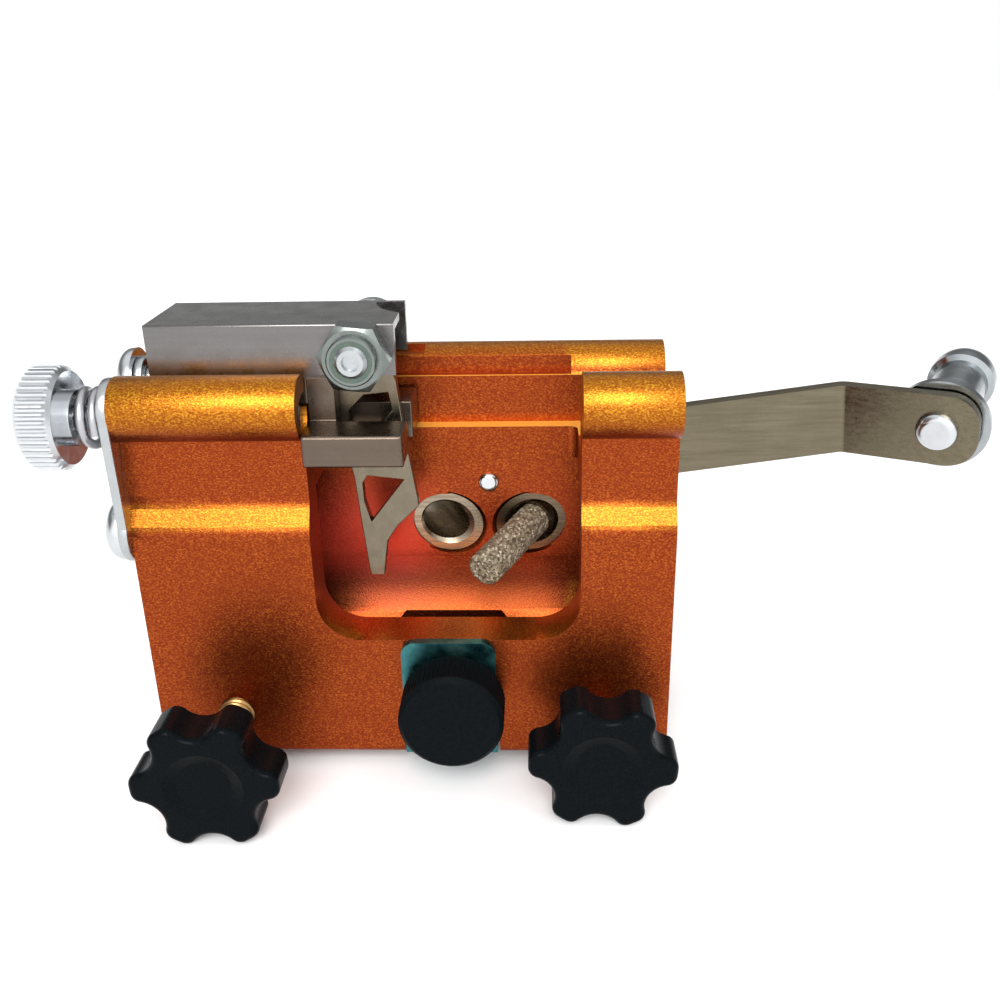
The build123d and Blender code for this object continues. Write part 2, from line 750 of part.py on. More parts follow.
# Pivot bolt, its cupped end forward and its socket head behind the channel
with BuildPart() as pivot_bolt:
    with BuildSketch(facing_front(channel_half_width)):
        with Locations((pivot_x, pivot_height)):
            Circle(pivot_radius)
    extrude(amount=channel_half_width - pivot_end)
    chamfer(edges().filter_by(GeomType.CIRCLE).sort_by(Axis.Y)[0], length=pivot_end_break)
    with BuildSketch(facing_front(pivot_end)):
        with Locations((pivot_x, pivot_height)):
            Circle(pivot_cup_radius)
    extrude(amount=-pivot_cup_depth, mode=Mode.SUBTRACT)
    with BuildSketch(facing_front(channel_half_width + bolt_head_height)):
        with Locations((pivot_x, pivot_height)):
            Circle(bolt_head_radius)
    extrude(amount=bolt_head_height)
    fillet(edges().filter_by(GeomType.CIRCLE).sort_by(Axis.Y)[-1], radius=bolt_head_round)
    with BuildSketch(facing_front(channel_half_width + bolt_head_height)):
        with Locations((pivot_x, pivot_height)):
            RegularPolygon(hex_socket_across / 2, 6, major_radius=False)
    extrude(amount=hex_socket_depth, mode=Mode.SUBTRACT)
finish(pivot_bolt, "pivot_bolt")

# Hexagonal lock nut with a round collar, and the plastic ring in it
collar_top = -channel_half_width - nut_height
with BuildPart() as pivot_nut:
    with BuildSketch(facing_front(-channel_half_width)):
        with Locations((pivot_x, pivot_height)):
            RegularPolygon(nut_across_flats / 2, 6, major_radius=False, rotation=nut_turn)
    extrude(amount=nut_height)
    with BuildSketch(facing_front(-channel_half_width)):
        with Locations((pivot_x, pivot_height)):
            Circle(nut_across_flats / 2 / cos(pi / 6))
    extrude(amount=nut_height, taper=asin(nut_break / nut_height) * 180 / pi, mode=Mode.INTERSECT)
    with BuildSketch(facing_front(collar_top)):
        with Locations((pivot_x, pivot_height)):
            Circle(nut_collar_radius)
    extrude(amount=nut_collar_height)
    with BuildSketch(facing_front(collar_top - nut_collar_height)):
        with Locations((pivot_x, pivot_height)):
            Circle(nut_collar_radius - nut_break)
    extrude(amount=-nut_insert_height, mode=Mode.SUBTRACT)
    with BuildSketch(facing_front(collar_top - nut_collar_height)):
        with Locations((pivot_x, pivot_height)):
            Circle(pivot_radius + press_clearance)
    extrude(amount=-nut_height - nut_collar_height, mode=Mode.SUBTRACT)
finish(pivot_nut, "pivot_nut")

with BuildPart() as nut_insert:
    with BuildSketch(facing_front(collar_top - nut_collar_height + nut_insert_height)):
        with Locations((pivot_x, pivot_height)):
            Circle(nut_collar_radius - nut_break - press_clearance)
            Circle(pivot_radius + press_clearance, mode=Mode.SUBTRACT)
    extrude(amount=nut_insert_height)
finish(nut_insert, "nut_insert")


def make_spacer(back, front, name):
    """Sleeve on the pivot bolt between a channel wall and the pawl."""
    with BuildPart() as spacer:
        with BuildSketch(facing_front(back)):
            with Locations((pivot_x, pivot_height)):
                Circle(spacer_radius)
                Circle(pivot_radius + running_clearance, mode=Mode.SUBTRACT)
        extrude(amount=back - front)
    finish(spacer, name)


inner_wall = channel_half_width - channel_wall
make_spacer(pawl_front - spacer_gap, -inner_wall, "pivot_spacer_front")
make_spacer(inner_wall, pawl_front + pawl_thickness + spacer_gap, "pivot_spacer_rear")

# Holder shaft for the stone, bored at the front for its shank and at the back for the screw
with BuildPart() as drive_shaft:
    with BuildSketch(crank_plane.offset(shaft_front)):
        Circle(shaft_radius)
    extrude(amount=hub_end_reach - shaft_front)
    with BuildSketch(crank_plane.offset(shaft_front)):
        Circle(shank_radius + press_clearance)
    extrude(amount=shank_length, mode=Mode.SUBTRACT)
    with BuildSketch(crank_plane.offset(hub_end_reach)):
        Circle(crank_screw_radius + press_clearance)
    extrude(amount=-crank_screw_depth, mode=Mode.SUBTRACT)
    with BuildSketch(crank_side.offset(-shaft_radius)):
        with Locations((0, grub_reach)):
            Circle(grub_radius + press_clearance)
    extrude(amount=shaft_radius, mode=Mode.SUBTRACT)
finish(drive_shaft, "drive_shaft")

with BuildPart() as stone_grub:
    with BuildSketch(crank_side.offset(-shank_radius - seat_gap)):
        with Locations((0, grub_reach)):
            Circle(grub_radius)
    extrude(amount=-grub_length)
finish(stone_grub, "stone_grub_screw")

# Grinding stone with its rounded tip, on a steel shank
with BuildPart() as grinding_stone:
    with BuildSketch(crank_plane.offset(shaft_front - seat_gap)):
        Circle(stone_radius)
    extrude(amount=seat_gap - shaft_front - stone_reach)
    fillet(edges().filter_by(GeomType.CIRCLE).sort_by(Axis.Y)[0], radius=stone_tip_round)
    with BuildSketch(crank_plane.offset(shaft_front)):
        Circle(shank_radius + press_clearance)
    extrude(amount=-stone_reach / 2, mode=Mode.SUBTRACT)
finish(grinding_stone, "grinding_stone")

with BuildPart() as stone_shank:
    with BuildSketch(crank_plane.offset(shaft_front - stone_reach / 2)):
        Circle(shank_radius)
    extrude(amount=stone_reach / 2 + shank_length - seat_gap)
finish(stone_shank, "stone_shank")

# Nylon washer that meets the bush when the stone is pushed fully in
with BuildPart() as thrust_washer:
    with BuildSketch(right_bush_plane.offset(bush_length)):
        Circle(washer_radius)
        Circle(bore_radius, mode=Mode.SUBTRACT)
    extrude(amount=washer_thickness)
finish(thrust_washer, "thrust_washer")

# Steel hub between the washer and the crank arm
with BuildPart() as crank_hub:
    with BuildSketch(crank_plane.offset(hub_end_reach - hub_length)):
        Circle(hub_radius)
        Circle(shaft_radius + press_clearance, mode=Mode.SUBTRACT)
    extrude(amount=hub_length)
    rims = edges().filter_by(GeomType.CIRCLE).sort_by(SortBy.RADIUS)[-2:]
    chamfer(rims, length=hub_break)
    with BuildSketch(crank_side.offset(-hub_radius)):
        with Locations((0, hub_end_reach - hub_grub_inset)):
            Circle(hub_grub_radius + press_clearance)
    extrude(amount=hub_radius - shaft_radius, mode=Mode.SUBTRACT)
finish(crank_hub, "crank_hub")

with BuildPart() as hub_grub:
    with BuildSketch(crank_side.offset(-shaft_radius - seat_gap)):
        with Locations((0, hub_end_reach - hub_grub_inset)):
            Circle(hub_grub_radius)
    extrude(amount=shaft_radius - hub_radius + hub_break)
finish(hub_grub, "hub_grub_screw")

# Crank arm: one strip bent twice, its two ends flat and parallel
arm_middle = hub_end_reach + strip_thickness / 2
arm_points = [
    (-strip_width / 2, arm_middle),
    (hub_flat_reach, arm_middle),
    (bend_reach, arm_middle + crank_offset),
    (crank_radius + strip_width / 2, arm_middle + crank_offset),
]
with BuildPart() as crank_arm:
    with BuildSketch(crank_side):
        with BuildLine():
            arm_line = FilletPolyline(*arm_points, radius=bend_radius)
        trace(arm_line, line_width=strip_thickness)
    extrude(amount=strip_width / 2, both=True)
    with BuildSketch(crank_plane):
        with Locations((crank_radius / 2, 0)):
            RectangleRounded(crank_radius + strip_width, strip_width, arm_corner)
        Circle(crank_screw_radius + press_clearance, mode=Mode.SUBTRACT)
        with Locations((crank_radius, 0)):
            Circle(rivet_radius + press_clearance, mode=Mode.SUBTRACT)
    extrude(amount=arm_end_reach + overrun, mode=Mode.INTERSECT)
finish(crank_arm, "crank_arm")

# Pan-head screw through the arm into the end of the shaft
with BuildPart() as crank_screw:
    with BuildSketch(crank_plane.offset(hub_end_reach - crank_screw_depth)):
        Circle(crank_screw_radius)
    extrude(amount=crank_screw_depth + strip_thickness)
    with BuildSketch(crank_plane.offset(hub_end_reach + strip_thickness)):
        Circle(crank_screw_head_radius)
    extrude(amount=crank_screw_head_height)
    head_rim = edges().filter_by(GeomType.CIRCLE).sort_by(Axis.Y)[-1]
    fillet(head_rim, radius=head_share * crank_screw_head_height)
    with BuildSketch(crank_plane.offset(hub_end_reach + strip_thickness + crank_screw_head_height)):
        Rectangle(crank_screw_head_radius, recess_width)
        Rectangle(recess_width, crank_screw_head_radius)
    extrude(amount=-recess_depth, mode=Mode.SUBTRACT)
finish(crank_screw, "crank_screw")

# Rivet that carries the handle, its domed head on the front of the arm
with BuildPart() as handle_rivet:
    with BuildSketch(crank_plane.offset(arm_end_reach - strip_thickness)):
        with Locations((crank_radius, 0)):
            Circle(rivet_head_radius)
    extrude(amount=-rivet_head_height)
    head_rim = edges().filter_by(GeomType.CIRCLE).sort_by(Axis.Y)[0]
    fillet(head_rim, radius=head_share * rivet_head_height)
    with BuildSketch(crank_plane.offset(arm_end_reach - strip_thickness)):
        with Locations((crank_radius, 0)):
            Circle(rivet_radius)
    extrude(amount=strip_thickness + handle_washer_thickness + handle_length - handle_wall)
finish(handle_rivet, "handle_rivet")

with BuildPart() as handle_washer:
    with BuildSketch(crank_plane.offset(arm_end_reach)):
        with Locations((crank_radius, 0)):
            Circle(handle_washer_radius)
            Circle(rivet_radius + press_clearance, mode=Mode.SUBTRACT)
    extrude(amount=handle_washer_thickness)
finish(handle_washer, "handle_washer")

# Handle turned from bar: flared foot, drawn-in waist and domed end
handle_top = handle_start + handle_length
with BuildPart() as crank_handle:
    with BuildSketch(crank_side):
        with BuildLine():
            foot_line = Polyline(
                (crank_radius, handle_start),
                (crank_radius + handle_base_radius, handle_start),
                (crank_radius + handle_base_radius, handle_start + handle_rim),
            )
            flare = RadiusArc(
                foot_line @ 1,
                (crank_radius + handle_waist_radius, handle_start + handle_waist_height),
                handle_waist_height,
            )
            neck = Polyline(
                flare @ 1,
                (crank_radius + handle_waist_radius, handle_start + handle_neck_height),
                (crank_radius + handle_knob_radius, handle_start + handle_neck_height + handle_groove),
                (crank_radius + handle_knob_radius, handle_top - handle_knob_radius),
            )
            dome_centre = (crank_radius, handle_top - handle_knob_radius)
            dome = CenterArc(dome_centre, handle_knob_radius, 0, 90)
            Line(dome @ 1, foot_line @ 0)
        make_face()
    handle_axis = Axis(crank_plane.from_local_coords(Vector(crank_radius, 0, 0)), crank_plane.z_dir)
    revolve(axis=handle_axis)
    with BuildSketch(crank_plane.offset(handle_start)):
        with Locations((crank_radius, 0)):
            Circle(rivet_radius + running_clearance)
    extrude(amount=handle_length - handle_wall, mode=Mode.SUBTRACT)
finish(crank_handle, "crank_handle")


def make_clamp(x, turned_in, turn, side):
    """Star knob, threaded stud and swivel pad of one clamp, screwed in by some distance."""
    pad_back = pad_rest + turned_in
    back = star_back + turned_in
    hub_back = back + star_hub_length
    with BuildPart() as star_knob:
        with BuildSketch(facing_front(back)):
            with Locations(Location((x, clamp_height), turn)):
                Circle(star_radius)
                with PolarLocations(star_valley_reach, star_lobes):
                    Circle(star_valley_radius, mode=Mode.SUBTRACT)
            fillet(vertices(), radius=star_corner_round)
        extrude(amount=star_thickness)
        fillet(faces().sort_by(Axis.Y)[0].edges(), radius=star_edge_round)
        with BuildSketch(facing_front(hub_back)):
            with Locations((x, clamp_height)):
                Circle(star_hub_radius)
        extrude(amount=star_hub_length)
        with BuildSketch(facing_front(back - star_thickness)):
            with Locations((x, clamp_height)):
                Circle(star_dish_radius)
        extrude(amount=-star_dish_depth, taper=star_dish_slope, mode=Mode.SUBTRACT)
        with BuildSketch(facing_front(hub_back)):
            with Locations((x, clamp_height)):
                Circle(stud_radius + press_clearance)
        extrude(amount=star_hub_length + stud_knob_depth, mode=Mode.SUBTRACT)
    finish(star_knob, f"star_knob_{side}")
    with BuildPart() as stud:
        with BuildSketch(facing_front(pad_back)):
            with Locations((x, clamp_height)):
                Circle(stud_radius)
        extrude(amount=pad_back - back + stud_knob_depth - seat_gap)
        with BuildSketch(facing_front(pad_back + pad_socket_depth - seat_gap)):
            with Locations((x, clamp_height)):
                Circle(pad_socket_radius - running_clearance)
        extrude(amount=pad_socket_depth)
    finish(stud, f"clamp_stud_{side}")
    with BuildPart() as pad:
        with BuildSketch(facing_front(pad_back + pad_thickness)):
            with Locations((x, clamp_height)):
                Circle(pad_radius)
        extrude(amount=pad_thickness - seat_gap)
        with BuildSketch(facing_front(pad_back + pad_socket_depth)):
            with Locations((x, clamp_height)):
                Circle(pad_socket_radius)
        extrude(amount=pad_socket_depth, mode=Mode.SUBTRACT)
    finish(pad, f"clamp_pad_{side}")


make_clamp(-clamp_spacing / 2, 0, left_star_turn, "left")
make_clamp(clamp_spacing / 2, right_clamp_turned_in, right_star_turn, "right")

# Stop plate: a front leg, a foot under the front wall and a short leg inside the jaw
with BuildPart() as bar_stop:
    front_leg_back = outer_face - seat_gap
    front_leg_front = front_leg_back - stop_thickness
    inner_face = gap_face
    with BuildSketch(facing_right(stop_centre - stop_width / 2)):
        with BuildLine():
            Polyline(
                (front_leg_front, stop_foot),
                (inner_face, stop_foot),
                (inner_face, stop_inner_height),
                (inner_face - stop_thickness, stop_inner_height),
                (inner_face - stop_thickness, stop_foot + stop_thickness),
                (front_leg_back, stop_foot + stop_thickness),
                (front_leg_back, stop_top),
                (front_leg_front, stop_top),
                close=True,
            )
        make_face()
        fillet(vertices().group_by(Axis.Y)[0], radius=stop_bend)
    extrude(amount=stop_width)
    top_corners = edges().filter_by(Axis.Y).group_by(Axis.Z)[-1]
    fillet(top_corners, radius=stop_corner)
    with BuildSketch(facing_front(outer_face)):
        slot_low = lock_height - stop_rise - lock_screw_radius - running_clearance
        slot_high = lock_height + stop_drop + lock_screw_radius + running_clearance
        slot_width = 2 * (lock_screw_radius + slide_clearance)
        with Locations((lock_x, (slot_low + slot_high) / 2)):
            SlotOverall(slot_high - slot_low + 2 * slide_clearance, slot_width, rotation=90)
    extrude(amount=stop_thickness + overrun, mode=Mode.SUBTRACT)
finish(bar_stop, "bar_stop")

with BuildPart() as lock_washer:
    with BuildSketch(facing_front(lock_plate_face)):
        with Locations((lock_x, lock_height)):
            Circle(lock_washer_radius)
            Circle(lock_screw_radius + running_clearance, mode=Mode.SUBTRACT)
    extrude(amount=lock_washer_thickness - seat_gap)
finish(lock_washer, "lock_washer")

# Fine-knurled black knob that locks the stop plate, on its screw
with BuildPart() as lock_knob:
    with BuildSketch(facing_front(lock_knob_back)):
        with Locations((lock_x, lock_height)):
            Circle(lock_knob_radius)
    extrude(amount=lock_knob_thickness)
    chamfer(edges(), length=lock_knob_break)
    with BuildSketch(facing_front(lock_knob_back + knurl_overrun)):
        with Locations((lock_x, lock_height)):
            with PolarLocations(lock_knob_radius, lock_knob_knurls):
                Circle(lock_knurl_radius)
    extrude(amount=lock_knob_thickness - lock_knob_break, mode=Mode.SUBTRACT)
    with BuildSketch(facing_front(lock_knob_back)):
        with Locations((lock_x, lock_height)):
            Circle(lock_screw_radius + press_clearance)
    extrude(amount=lock_knob_insert, mode=Mode.SUBTRACT)
finish(lock_knob, "lock_knob")

with BuildPart() as lock_screw:
    with BuildSketch(facing_front(lock_screw_inner)):
        with Locations((lock_x, lock_height)):
            Circle(lock_screw_radius)
    extrude(amount=lock_screw_inner - lock_knob_back + lock_knob_insert - seat_gap)
finish(lock_screw, "lock_screw")
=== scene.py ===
import math

import bmesh
import bpy
from mathutils import Matrix, Vector, noise


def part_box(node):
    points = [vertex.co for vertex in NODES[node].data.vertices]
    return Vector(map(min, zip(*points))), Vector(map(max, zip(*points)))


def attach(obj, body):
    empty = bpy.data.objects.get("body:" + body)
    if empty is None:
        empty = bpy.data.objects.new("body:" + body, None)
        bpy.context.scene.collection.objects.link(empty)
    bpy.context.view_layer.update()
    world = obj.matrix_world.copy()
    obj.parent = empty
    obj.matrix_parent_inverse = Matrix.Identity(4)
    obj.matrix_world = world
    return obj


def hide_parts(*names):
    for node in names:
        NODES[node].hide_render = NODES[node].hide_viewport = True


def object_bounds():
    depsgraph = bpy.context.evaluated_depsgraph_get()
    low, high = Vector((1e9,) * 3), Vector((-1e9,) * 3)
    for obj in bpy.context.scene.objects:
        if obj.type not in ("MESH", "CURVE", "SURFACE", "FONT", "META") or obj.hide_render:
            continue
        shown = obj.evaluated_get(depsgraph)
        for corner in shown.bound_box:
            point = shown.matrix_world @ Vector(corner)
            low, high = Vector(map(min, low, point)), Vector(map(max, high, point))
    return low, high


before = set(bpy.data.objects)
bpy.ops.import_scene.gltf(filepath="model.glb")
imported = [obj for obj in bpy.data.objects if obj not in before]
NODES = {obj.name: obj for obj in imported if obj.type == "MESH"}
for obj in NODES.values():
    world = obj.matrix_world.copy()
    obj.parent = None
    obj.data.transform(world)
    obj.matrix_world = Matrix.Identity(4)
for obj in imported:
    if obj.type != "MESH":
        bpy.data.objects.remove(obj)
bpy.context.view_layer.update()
MM = 0.001
FRONT, RIGHT, BACK, UP = Vector((0, -1, 0)), Vector((1, 0, 0)), Vector((0, 1, 0)), Vector((0, 0, 1))

# Where the body's painted highlight changes
BODY_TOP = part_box("main_body")[1][2]
WINDOW_RIGHT = 26.2 * MM

# The shaft leans to the right and up as it runs back. The arm is lifted a little about it.
SHAFT_ORIGIN = Vector((19.0, 4.2, 33.8)) * MM
SHAFT_LEAN = math.radians(30.0)
SHAFT_RISE = math.radians(10.0)
ARM_LIFT = math.radians(2.0)
SHAFT_Z = Vector((
    math.sin(SHAFT_LEAN) * math.cos(SHAFT_RISE),
    math.cos(SHAFT_LEAN) * math.cos(SHAFT_RISE),
    math.sin(SHAFT_RISE),
))
ACROSS_SHAFT = Vector((math.cos(SHAFT_LEAN), -math.sin(SHAFT_LEAN), 0.0))
SHAFT_X = ACROSS_SHAFT * math.cos(ARM_LIFT) - SHAFT_Z.cross(ACROSS_SHAFT) * math.sin(ARM_LIFT)
SHAFT_Y = SHAFT_Z.cross(SHAFT_X)
MIRROR = Vector((-1, 1, 1))
LEFT_BUSH_Z = SHAFT_Z * MIRROR
LEFT_BUSH_X = ACROSS_SHAFT * Vector((1, -1, 1))


def mm(*values):
    return tuple(value * MM for value in values)


def turn_to(x_axis, z_axis):
    """The rotation that lays texture space along a piece's own axes."""
    return tuple(Matrix((x_axis, z_axis.cross(x_axis), z_axis)).to_euler())


# Materials

class Shader:
    """A node material with the few building blocks that every finish here uses."""

    def __init__(self, name, base, metallic, roughness):
        self.mat = bpy.data.materials.new(name)
        self.mat.use_nodes = True
        self.tree = self.mat.node_tree
        self.bsdf = self.tree.nodes["Principled BSDF"]
        self.bsdf.inputs["Base Color"].default_value = (*base, 1.0)
        self.bsdf.inputs["Metallic"].default_value = metallic
        self.bsdf.inputs["Roughness"].default_value = roughness
        places = self.node("ShaderNodeTexCoord")
        self.coords, self.facing = places.outputs["Object"], places.outputs["Normal"]
        self.normal = None

    def node(self, kind, **values):
        """A new node with values set on its sockets, each named with an underscore for a space."""
        node = self.tree.nodes.new(kind)
        for name, value in values.items():
            node.inputs[name.replace("_", " ")].default_value = value
        return node

    def link(self, source, target):
        self.tree.links.new(source, target)

    def mapped(self, scale, rotation=(0, 0, 0)):
        node = self.node("ShaderNodeMapping", Scale=scale, Rotation=rotation)
        self.link(self.coords, node.inputs["Vector"])
        return node.outputs["Vector"]

    def noise(self, scale, detail, roughness, vector=None):
        node = self.node("ShaderNodeTexNoise", Scale=scale, Detail=detail, Roughness=roughness)
        self.link(vector or self.coords, node.inputs["Vector"])
        return node.outputs["Fac"]

    def cells(self, scale):
        node = self.node("ShaderNodeTexVoronoi", Scale=scale)
        self.link(self.coords, node.inputs["Vector"])
        return node.outputs

    def ramp(self, factor, stops):
        node = self.node("ShaderNodeValToRGB")
        elements = node.color_ramp.elements
        for place, colour in stops[2:]:
            elements.new(place)
        for element, (place, colour) in zip(elements, stops):
            element.position = place
            element.color = (*colour, 1.0)
        self.link(factor, node.inputs["Fac"])
        return node.outputs["Color"]

    def mix(self, factor, a, b):
        """Colour a where the factor is 0, and b where it is 1. Each is a socket or a constant."""
        node = self.node("ShaderNodeMix")
        node.data_type = "RGBA"
        sockets = {socket.name: socket for socket in node.inputs if socket.enabled}
        self.link(factor, sockets["Factor"])
        for name, value in (("A", a), ("B", b)):
            if isinstance(value, tuple):
                sockets[name].default_value = (*value, 1.0)
            else:
                self.link(value, sockets[name])
        return next(socket for socket in node.outputs if socket.enabled)

    def parts_of(self, vector):
        node = self.node("ShaderNodeSeparateXYZ")
        self.link(vector, node.inputs["Vector"])
        return tuple(node.outputs)

    def times(self, product, *factors):
        for factor in factors:
            node = self.node("ShaderNodeMath")
            node.operation = "MULTIPLY"
            self.link(product, node.inputs[0])
            self.link(factor, node.inputs[1])
            product = node.outputs["Value"]
        return product

    def span(self, factor, across=(0.0, 1.0), gives=(0.0, 1.0)):
        """Carries the range across over to the range it gives, and holds it beyond the ends."""
        node = self.node(
            "ShaderNodeMapRange", From_Min=across[0], From_Max=across[1], To_Min=gives[0], To_Max=gives[1]
        )
        self.link(factor, node.inputs["Value"])
        return node.outputs["Result"]

    def colour(self, output):
        self.link(output, self.bsdf.inputs["Base Color"])

    def rough(self, output):
        self.link(output, self.bsdf.inputs["Roughness"])

    def metal(self, output):
        self.link(output, self.bsdf.inputs["Metallic"])

    def bump(self, height, strength, distance_mm):
        node = self.node("ShaderNodeBump", Strength=strength, Distance=distance_mm * MM)
        self.link(height, node.inputs["Height"])
        if self.normal is not None:
            self.link(self.normal, node.inputs["Normal"])
        self.normal = node.outputs["Normal"]
        self.link(self.normal, self.bsdf.inputs["Normal"])


def dimmed(colour, share):
    return tuple(part * share for part in colour)


def orange_anodised():
    """Sand-blasted aluminium dyed orange, with coarse grain. Painted light and shade lie over the dye: a
    gold painted highlight on upward faces, the front rail and the rear ledge, a bright red painted bounce
    light on the back of the hollow, and painted shade at the hollow's foot.
    """
    wall_face, wall_back = mm(0.2, 2.0), mm(5.0, 6.0)
    red_top, red_foot, red_side = mm(46.0, 34.0), mm(22.0, 26.0), mm(-4.0, 5.0)
    floor_edge, gold_edge = mm(23.0, 29.0), mm(30.0, 36.0)
    rear_part, rear_crown, front_part = mm(-1.0, 0.0), mm(8.5, 12.0), mm(-8.5, -7.5)
    ledge_height, ledge_back = mm(44.0, 45.0), mm(7.0, 7.5)
    milled_end = (WINDOW_RIGHT - 1.5 * MM, WINDOW_RIGHT)
    rail_height = (BODY_TOP - 9.5 * MM, BODY_TOP - 7.0 * MM)

    s = Shader("orange_anodised", (0.26, 0.043, 0.009), 0.97, 0.36)
    grain = s.noise(4600.0, 2.0, 0.6, s.mapped(scale=(0.62, 1.0, 1.0)))
    cloud = s.noise(160.0, 3.0, 0.55)
    dye_and_painted_light = s.ramp(grain, [
        (0.36, (0.17, 0.024, 0.007)),
        (0.52, (0.255, 0.042, 0.009)),
        (0.68, (0.43, 0.11, 0.018)),
    ])
    dye_and_painted_light = s.mix(s.span(cloud, (0.35, 0.7), (0.0, 0.35)), dye_and_painted_light, (0.22, 0.034, 0.008))
    # Painted highlight: a lighter, yellower copy of the dye, laid where the light falls.
    painted_gold_highlight = s.ramp(grain, [
        (0.36, (0.26, 0.070, 0.008)),
        (0.52, (0.40, 0.135, 0.011)),
        (0.68, (0.58, 0.29, 0.024)),
    ])
    x, y, z = s.parts_of(s.coords)
    upward = s.parts_of(s.facing)[2]

    in_wall = s.times(s.span(y, wall_face), s.span(y, wall_back, (1.0, 0.0)))
    # Painted bounce light: the back wall of the hollow painted bright red, standing in for light passed
    # between the orange faces.
    painted_red_bounce = s.times(
        in_wall,
        s.span(z, red_top, (0.0, 0.8)),
        s.span(x, red_side, (1.0, 0.14)),
        s.span(z, red_foot, (0.3, 1.0)),
    )
    # Painted shade: the hollow's back wall darkened at its foot.
    painted_hollow_shade = s.times(in_wall, s.span(z, floor_edge, (0.75, 0.0)))
    dye_and_painted_light = s.mix(painted_red_bounce, dye_and_painted_light, (0.66, 0.050, 0.028))
    dye_and_painted_light = s.mix(painted_hollow_shade, dye_and_painted_light, (0.095, 0.013, 0.005))

    at_rear = s.span(y, rear_part, (0.0, 0.85))
    # The rear crown left of the window's right edge, where no painted highlight is laid.
    milled = s.times(at_rear, s.span(x, milled_end, (1.0, 0.0)), s.span(y, rear_crown, (1.0, 0.0)))
    # Painted highlight on upward faces, weaker low down.
    top_highlight = s.times(
        s.span(upward, (0.22, 0.58)),
        s.span(z, gold_edge, (0.6, 1.0)),
        s.span(milled, gives=(1.0, 0.0)),
    )
    # Painted highlight carried down the front of the front rail.
    front_rail_highlight = s.times(
        s.span(upward, (-0.75, 0.1), (0.0, 0.9)),
        s.span(y, front_part, (1.0, 0.0)),
        s.span(z, rail_height),
    )
    # Painted highlight: a bright gold line along the rear ledge.
    ledge_highlight = s.times(
        s.span(upward, (0.3, 0.6)),
        s.span(z, ledge_height),
        at_rear,
        s.span(y, ledge_back, (1.0, 0.0)),
    )
    # The painted highlights laid over the dye.
    highlighted = s.mix(front_rail_highlight, s.mix(top_highlight, dye_and_painted_light, painted_gold_highlight), painted_gold_highlight)
    s.colour(s.mix(ledge_highlight, highlighted, (1.0, 0.66, 0.10)))
    # Metal falls to half under the painted red bounce light and the painted ledge highlight.
    s.metal(s.span(s.mix(painted_red_bounce, ledge_highlight, (1.0, 1.0, 1.0)), gives=(0.97, 0.5)))
    s.rough(s.span(grain, (0.3, 0.7), (0.29, 0.43)))
    s.bump(grain, strength=0.55, distance_mm=0.06)
    return s.mat


def mill_aluminium(name, streak_scale, base, roughness):
    """Bare extruded or milled aluminium with fine tool streaks and grey handling marks."""
    s = Shader(name, base, 1.0, roughness)
    streaks = s.noise(900.0, 4.0, 0.7, s.mapped(scale=streak_scale))
    marks = s.noise(210.0, 5.0, 0.7)
    colour = s.ramp(streaks, [(0.30, dimmed(base, 0.87)), (0.70, base)])
    s.colour(s.mix(s.span(marks, (0.5, 0.75), (0.0, 0.30)), colour, dimmed(base, 0.7)))
    s.rough(s.span(marks, (0.35, 0.7), (roughness - 0.07, roughness + 0.12)))
    s.bump(streaks, strength=0.25, distance_mm=0.02)
    return s.mat


def plated(name, base, roughness, clouding=0.48):
    """Zinc or nickel plate: slightly cloudy, with faint pits."""
    s = Shader(name, base, 1.0, roughness)
    clouds = s.noise(420.0, 4.0, 0.6)
    pits = s.noise(3800.0, 2.0, 0.5)
    s.colour(s.mix(s.span(clouds, (0.4, 0.75), (0.0, clouding)), base, dimmed(base, 0.78)))
    s.rough(s.span(clouds, (0.35, 0.7), (roughness - 0.05, roughness + 0.12)))
    s.bump(pits, strength=0.12, distance_mm=0.02)
    return s.mat


def turned(name, base, roughness, axis_rotation):
    """Lathe-turned steel: fine rings across the piece's axis."""
    s = Shader(name, base, 1.0, roughness)
    rings = s.noise(2600.0, 2.0, 0.5, s.mapped(scale=(0.02, 0.02, 1.0), rotation=axis_rotation))
    s.colour(s.mix(s.span(rings, (0.35, 0.65), (0.0, 0.8)), base, dimmed(base, 0.72)))
    s.rough(s.span(rings, (0.3, 0.7), (roughness - 0.05, roughness + 0.10)))
    s.bump(rings, strength=0.3, distance_mm=0.02)
    return s.mat


def brushed_arm():
    """Warm nickel-plated strip with fine brushing along its length."""
    s = Shader("arm_steel", (0.16, 0.137, 0.092), 1.0, 0.30)
    streaks = s.noise(1500.0, 5.0, 0.7, s.mapped(scale=(0.03, 1.0, 1.0)))
    clouds = s.noise(120.0, 3.0, 0.5)
    colour = s.ramp(streaks, [(0.3, (0.13, 0.11, 0.072)), (0.7, (0.19, 0.165, 0.115))])
    s.colour(s.mix(s.span(clouds, (0.45, 0.7), (0.0, 0.35)), colour, (0.125, 0.106, 0.07)))
    s.rough(s.span(streaks, (0.3, 0.7), (0.22, 0.34)))
    s.bump(streaks, strength=0.08, distance_mm=0.01)
    return s.mat


def teal_passivated():
    """Zinc plate passivated blue-green, darker in patches."""
    s = Shader("passivated_steel", (0.05, 0.18, 0.19), 1.0, 0.3)
    clouds = s.noise(260.0, 4.0, 0.6)
    s.colour(s.ramp(clouds, [
        (0.32, (0.024, 0.11, 0.125)),
        (0.55, (0.052, 0.19, 0.20)),
        (0.75, (0.13, 0.29, 0.28)),
    ]))
    s.rough(s.span(clouds, (0.3, 0.7), (0.22, 0.40)))
    s.bump(s.noise(3000.0, 2.0, 0.5), strength=0.15, distance_mm=0.02)
    return s.mat


